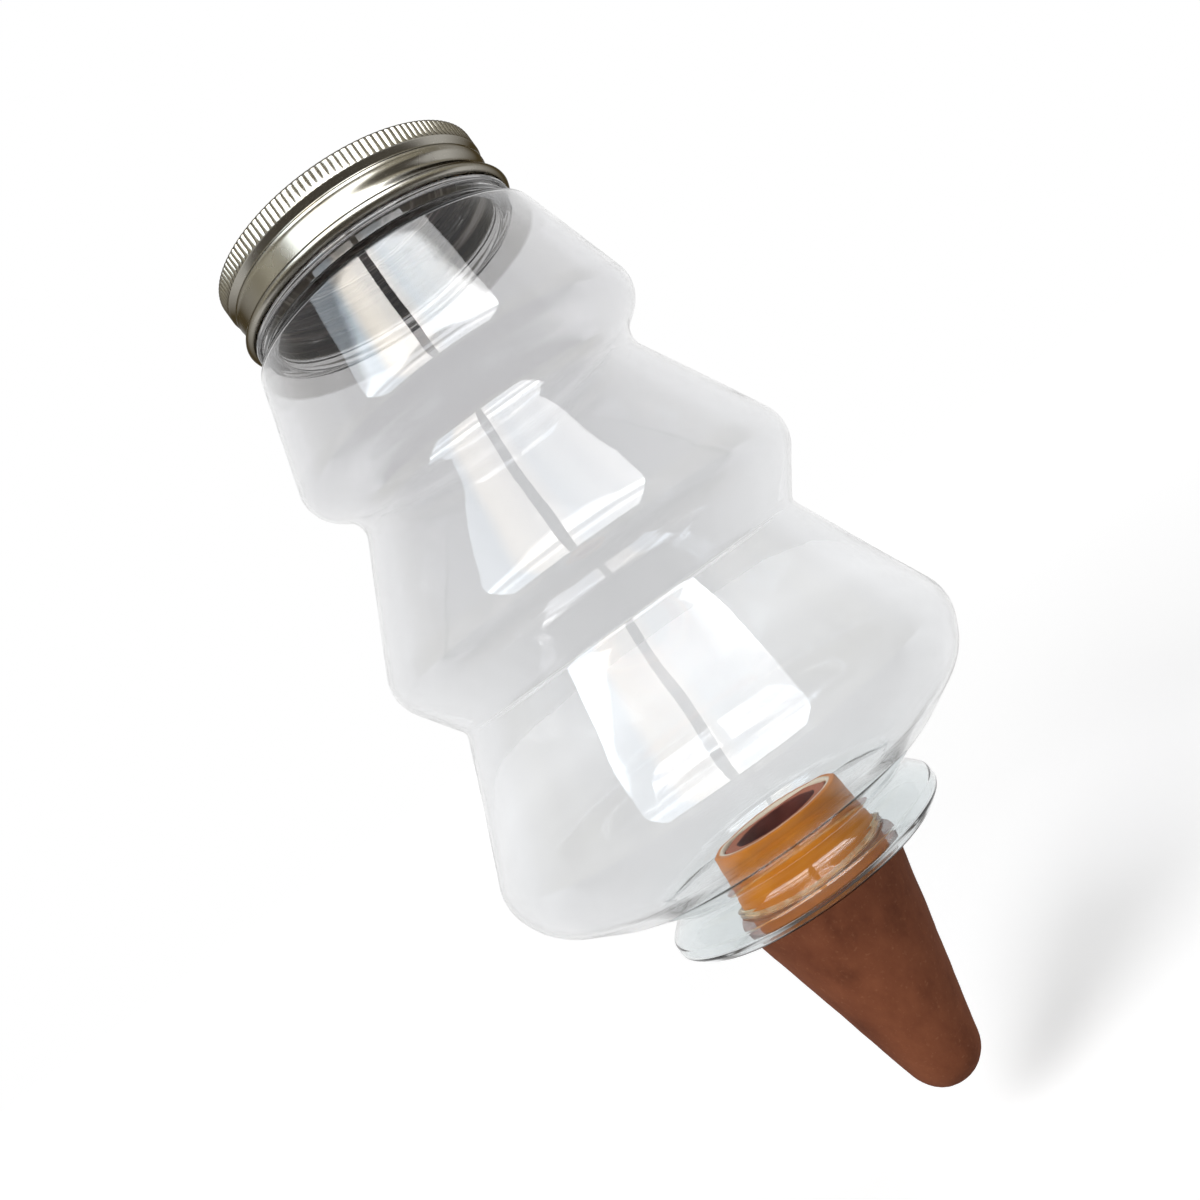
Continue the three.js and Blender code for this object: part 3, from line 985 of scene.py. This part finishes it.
def spikePiece():
    low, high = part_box("spike")
    neckTop, tipZ, shoulderRadius = high.z / mm, low.z / mm, high.x / mm
    shoulder = Vector((shoulderRadius, -spike["shoulderDrop"]))
    tip = Vector((0, tipZ + spike["tipRadius"]))
    reach = shoulder - tip
    lean = math.atan2(reach.x, reach.y) - math.asin(spike["tipRadius"] / reach.length)
    ball = arcLine(tip, spike["tipRadius"], -math.pi / 2, -lean, 7)
    outside = roundedLine([
        (ball[-1].x, ball[-1].y, 0),
        (shoulder.x, shoulder.y, spike["shoulderEdge"]),
        (spike["neckRadius"], -spike["seat"], spike["rootFillet"]),
        (spike["neckRadius"], neckTop, spike["neckEdge"]),
        (spike["bore"], neckTop, spike["neckEdge"]),
        (spike["bore"], 0, 0),
    ], arcStep=12)
    hollow = arcLine(tip, spike["tipRadius"] - spike["wall"], -lean, -math.pi / 2, 12)
    taper = (spike["bore"] - hollow[0].x) / math.sin(lean)
    start = Vector((spike["bore"], hollow[0].y + taper * math.cos(lean)))
    line = ball + outside[1:] + [start] + hollow
    line[0].x = line[-1].x = 0
    line = spacedLine(line, spike["rowSpacing"])
    piece = spinLine("spike_clay", line, spike["sectors"], spike["sectorSides"])
    for depth, size in spike["unevenness"]:
        wrinkle(piece, depth, size)
    smooth(piece, spike["smoothing"])
    return piece


def terracotta():
    material, tree, shader = newMaterial("terracotta")
    places = objectPlaces(tree)
    streaks = noiseNode(tree, objectPlaces(tree, spike["streakStretch"]), *spike["streaks"])
    colour = rampNode(tree, streaks, spike["colours"])
    damp = noiseNode(tree, objectPlaces(tree, spike["dampStretch"]), *spike["dampPatches"])
    colour = mixNode(tree, rangeNode(tree, damp, *spike["dampShare"]), colour, spike["dampColour"])
    specks = noiseNode(tree, places, *spike["specks"])
    colour = mixNode(tree, rangeNode(tree, specks, *spike["speckShare"]), colour, spike["speckColour"])
    # painted light: paler neck and shoulder top
    neckHeights = (height * mm for height in spike["neckFrom"])
    neck = rangeNode(tree, placeAlong(tree, places, "Z"), 0, spike["neckShare"], *neckHeights)
    tree.links.new(mixNode(tree, neck, colour, spike["neckLitColour"]), shader.inputs["Base Color"])
    grain = noiseNode(tree, places, *spike["grain"])
    tree.links.new(rangeNode(tree, grain, *spike["roughness"]), shader.inputs["Roughness"])
    tree.links.new(bumpNode(tree, grain, *spike["grainBump"]), shader.inputs["Normal"])
    shader.inputs["Specular IOR Level"].default_value = spike["gloss"]
    return material


def dampClay():
    material, tree, shader = newMaterial("damp_clay")
    places = objectPlaces(tree)
    colour = rampNode(tree, noiseNode(tree, places, *spike["boreMottle"]), spike["boreColours"])
    tree.links.new(colour, shader.inputs["Base Color"])
    grain = noiseNode(tree, places, *spike["boreGrain"])
    tree.links.new(rangeNode(tree, grain, *spike["boreRoughness"]), shader.inputs["Roughness"])
    return material


clay = spikePiece()
clay.data.materials.append(terracotta())
clay.data.materials.append(dampClay())
boreReach, endReach = spike["bore"] + spike["boreMargin"], spike["bore"] - spike["boreMargin"]
for face in clay.data.polygons:
    centre, reach, inwards = faceFacts(face)
    if (inwards and reach < boreReach) or (face.normal.z > 0.3 and reach < endReach):
        face.material_index = 1
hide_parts("spike")
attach(clay, "spike_body")
print("spike made:", len(clay.data.polygons), "faces")


# Floor, world and lights

studio = {
    "floorRadius": 6.0,
    "floorColour": (0.8, 0.8, 0.8),
    "floorRoughness": 0.9,
    "floorDrop": 18.2,  # mm under the tip, so the spike stays over the floor when it is pulled out
    "floorLift": (0.42, 0.85),  # added for camera, gloss and glass, near the waterer and far off
    "liftReach": (0.25, 2.0),
    "worldLevel": 0.3,
    "windowDistance": 4.0,
    "windowTilt": 41.3,
    "panes": ((-0.8, -0.09), (-0.01, 0.7)),
    "paneLow": -0.55,
    "paneHigh": 0.6,
    "paneLevel": 9.6,
    "paneTints": (  # from left to right across each pane
        ((0, (0.68, 0.74, 0.78)), (0.45, (0.6, 0.67, 0.72)),
         (0.6, (0.96, 0.9, 0.8)), (1, (0.98, 0.94, 0.88))),
        ((0, (1, 0.97, 0.92)), (0.15, (0.85, 0.9, 0.93)), (0.8, (1, 1, 0.99)), (1, (1, 1, 1))),
    ),
    "clouds": (1.1, 4),
    "cloudStretch": (1, 1, 0.6),
    "cloudTints": ((0.35, (0.86, 0.87, 0.89)), (0.6, (1, 1, 1))),
    "skyline": (  # how bright it is outside, from low to high
        (0.2, 0.45), (0.27, 0.5), (0.31, 0.7), (0.39, 0.7), (0.44, 0.36), (0.56, 0.34), (0.595, 0.38),
        (0.61, 1), (0.74, 1), (0.79, 0.38), (1, 0.36),
    ),
    "roomRadius": 6.5,
    "roomFade": (0.2, 3.0),  # the room turns white behind the waterer
    "wallPatches": (1, 2),
    "wallStretch": (0.35, 0.35, 0.12),
    "walls": ((0.35, (0.22, 0.2, 0.15)), (0.5, (0.42, 0.39, 0.31)), (0.7, (0.64, 0.62, 0.52))),
    "ceiling": (0.42, 0.42, 0.43),
    "ceilingFrom": (3.2, 5.0),
    "tableLift": 1,  # mm over the floor
    "tableReach": (-0.2, 0.2),
    "table": (  # dark in front, grey under the waterer and white behind it
        (0.15, (0.11, 0.1, 0.085)),
        (0.3, (0.3, 0.29, 0.28)),
        (0.42, (0.6, 0.6, 0.6)),
        (0.8, (0.95, 0.95, 0.95)),
    ),
    "darkSpots": ((0.02, 0.038, 0.14), (0.09, 0.085, 0.04)),  # how far back, half width and half depth
    "darkColour": (0.1, 0.085, 0.075),
    "darkFade": (0.7, 1.2),  # in shares of the half width and depth
    "lamps": (  # name, place, size and power
        ("window_light", (-1.4, -1.5, 1.4), 1.4, 50),
        ("fill_light", (1.6, -0.6, 0.9), 1.2, 5),
    ),
    "bounces": 24,
    "clearBounces": 32,
}


def backdropRays(tree):
    # what the camera, gloss and glass see of the floor and the world is white
    paths = addNode(tree, "ShaderNodeLightPath")
    seen = paths.outputs["Is Camera Ray"]
    for kind in ("Is Glossy Ray", "Is Transmission Ray"):
        either = addNode(tree, "ShaderNodeMath", {"operation": "MAXIMUM"})
        tree.links.new(seen, either.inputs[0])
        tree.links.new(paths.outputs[kind], either.inputs[1])
        seen = either.outputs[0]
    return seen


def tintNode(tree, first, second):
    tint = addNode(tree, "ShaderNodeMix", {"data_type": "RGBA", "blend_type": "MULTIPLY"}, {"Factor": 1})
    tree.links.new(first, tint.inputs["A"])
    tree.links.new(second, tint.inputs["B"])
    return tint.outputs["Result"]


def makeFloor():
    deselectAll()
    bpy.ops.mesh.primitive_circle_add(vertices=96, radius=studio["floorRadius"], fill_type="NGON",
                                      location=(0, 0, cadLow.z - studio["floorDrop"] * mm))
    floor = bpy.context.object
    floor.name = "studio_floor"
    material, tree, shader = newMaterial("floor_white")
    shader.inputs["Base Color"].default_value = (*studio["floorColour"], 1)
    shader.inputs["Roughness"].default_value = studio["floorRoughness"]
    shader.inputs["Specular IOR Level"].default_value = 0
    shader.inputs["Emission Color"].default_value = (1, 1, 1, 1)
    far = addNode(tree, "ShaderNodeVectorMath", {"operation": "LENGTH"})
    tree.links.new(objectPlaces(tree), far.inputs[0])
    lift = rangeNode(tree, far.outputs["Value"], *studio["floorLift"], *studio["liftReach"])
    tree.links.new(timesNode(tree, backdropRays(tree), lift), shader.inputs["Emission Strength"])
    floor.data.materials.append(material)


def makeWorld():
    world = bpy.data.worlds.new("white_world")
    bpy.context.scene.world = world
    world.use_nodes = True
    world.cycles.sampling_method = "NONE"
    tree = world.node_tree
    background = tree.nodes["Background"]
    background.inputs["Color"].default_value = (1, 1, 1, 1)
    level = rangeNode(tree, backdropRays(tree), studio["worldLevel"], 1)
    tree.links.new(level, background.inputs["Strength"])


def mirroredGlow(name, level, colourFrom):
    # shows only after a first mirror, so the view straight through the plastic stays clear
    material = bpy.data.materials.new(name)
    material.use_nodes = True
    material.cycles.emission_sampling = "NONE"
    tree = material.node_tree
    tree.nodes.clear()
    paths = addNode(tree, "ShaderNodeLightPath")
    mirrored = addNode(tree, "ShaderNodeMath", {"operation": "GREATER_THAN"}, {1: 0.5})
    glow = addNode(tree, "ShaderNodeEmission", inputs={"Strength": level})
    clear = addNode(tree, "ShaderNodeBsdfTransparent")
    either = addNode(tree, "ShaderNodeMixShader")
    output = addNode(tree, "ShaderNodeOutputMaterial")
    tree.links.new(paths.outputs["Glossy Depth"], mirrored.inputs[0])
    tree.links.new(colourFrom(tree), glow.inputs["Color"])
    tree.links.new(mirrored.outputs[0], either.inputs["Fac"])
    tree.links.new(clear.outputs["BSDF"], either.inputs[1])
    tree.links.new(glow.outputs["Emission"], either.inputs[2])
    tree.links.new(either.outputs["Shader"], output.inputs["Surface"])
    return material


def mirroredOnly(thing):
    thing.visible_camera = False
    thing.visible_diffuse = False
    thing.visible_volume_scatter = False
    thing.visible_shadow = False


def windowPoint(across, up):
    # a point of the window, from its slopes across and up as seen from the waterer
    tilt = math.radians(studio["windowTilt"])
    ahead = Vector((0, -math.cos(tilt), math.sin(tilt)))
    rise = Vector((0, math.sin(tilt), math.cos(tilt)))
    return (ahead + Vector((across, 0, 0)) + rise * up) * studio["windowDistance"]


def makeWindow():
    for number, (left, right) in enumerate(studio["panes"]):
        corners = [windowPoint(left, studio["paneLow"]), windowPoint(right, studio["paneLow"]),
                   windowPoint(right, studio["paneHigh"]), windowPoint(left, studio["paneHigh"])]
        deselectAll()
        bpy.ops.mesh.primitive_plane_add(size=1, location=(0, 0, 0))
        pane = bpy.context.object
        pane.name = f"window_pane_{number + 1}"
        for vertex, corner in zip((0, 1, 3, 2), corners):
            pane.data.vertices[vertex].co = corner
        across, rise = (corners[0].x, corners[1].x), (corners[0].z, corners[2].z)

        def bands(tree, across=across, rise=rise, stops=studio["paneTints"][number]):
            places = objectPlaces(tree)
            tint = rampNode(tree, rangeNode(tree, placeAlong(tree, places, "X"), 0, 1, *across), stops)
            sky = rampNode(tree, rangeNode(tree, placeAlong(tree, places, "Z"), 0, 1, *rise),
                           [(place, (share, share, share)) for place, share in studio["skyline"]])
            clouds = noiseNode(tree, objectPlaces(tree, studio["cloudStretch"]), *studio["clouds"])
            clouds = rampNode(tree, clouds, studio["cloudTints"])
            return tintNode(tree, tintNode(tree, tint, sky), clouds)

        pane.data.materials.append(mirroredGlow(f"pane_glow_{number + 1}", studio["paneLevel"], bands))
        mirroredOnly(pane)


def makeRoom():
    # the room and its table in front, which the metal and the plastic mirror round the window
    deselectAll()
    bpy.ops.mesh.primitive_uv_sphere_add(segments=48, ring_count=24, radius=studio["roomRadius"])
    room = bpy.context.object
    room.name = "studio_room"

    def walls(tree):
        places = objectPlaces(tree)
        patches = noiseNode(tree, objectPlaces(tree, studio["wallStretch"]), *studio["wallPatches"])
        patches = rampNode(tree, patches, studio["walls"])
        upper = rangeNode(tree, placeAlong(tree, places, "Z"), 0, 1, *studio["ceilingFrom"])
        front = mixNode(tree, upper, patches, studio["ceiling"])
        behind = rangeNode(tree, placeAlong(tree, places, "Y"), 0, 1, *studio["roomFade"])
        return mixNode(tree, behind, front, (1, 1, 1))

    room.data.materials.append(mirroredGlow("room_glow", 1, walls))
    mirroredOnly(room)
    deselectAll()
    height = cadLow.z - (studio["floorDrop"] - studio["tableLift"]) * mm
    bpy.ops.mesh.primitive_circle_add(vertices=96, radius=studio["roomRadius"], fill_type="NGON",
                                      location=(0, 0, height))
    table = bpy.context.object
    table.name = "studio_table"

    def board(tree):
        back = rangeNode(tree, placeAlong(tree, objectPlaces(tree), "Y"), 0, 1, *studio["tableReach"])
        wood = rampNode(tree, back, studio["table"])
        for behind, halfWidth, halfDepth in studio["darkSpots"]:
            spot = radiusFrom(tree, objectPlaces(
                tree, (1 / halfWidth, 1 / halfDepth, 1), (0, -behind / halfDepth, 0)))
            wood = mixNode(tree, rangeNode(tree, spot, 1, 0, *studio["darkFade"]), wood, studio["darkColour"])
        return wood

    table.data.materials.append(mirroredGlow("table_glow", 1, board))
    mirroredOnly(table)


def makeLamp(name, place, size, power):
    deselectAll()
    bpy.ops.object.light_add(type="AREA", location=place)
    lamp = bpy.context.object
    lamp.name = name
    lamp.data.shape = "DISK"
    lamp.data.size = size
    lamp.data.energy = power
    lamp.rotation_euler = Vector(place).to_track_quat("Z", "Y").to_euler()
    lamp.visible_camera = False
    lamp.visible_glossy = False
    lamp.visible_transmission = False


makeFloor()
makeWorld()
makeWindow()
makeRoom()
for lamp in studio["lamps"]:
    makeLamp(*lamp)
bpy.context.scene.view_settings.view_transform = "Standard"
bpy.context.scene.cycles.max_bounces = studio["bounces"]
bpy.context.scene.cycles.transmission_bounces = studio["bounces"]
bpy.context.scene.cycles.transparent_max_bounces = studio["clearBounces"]
print("studio set")
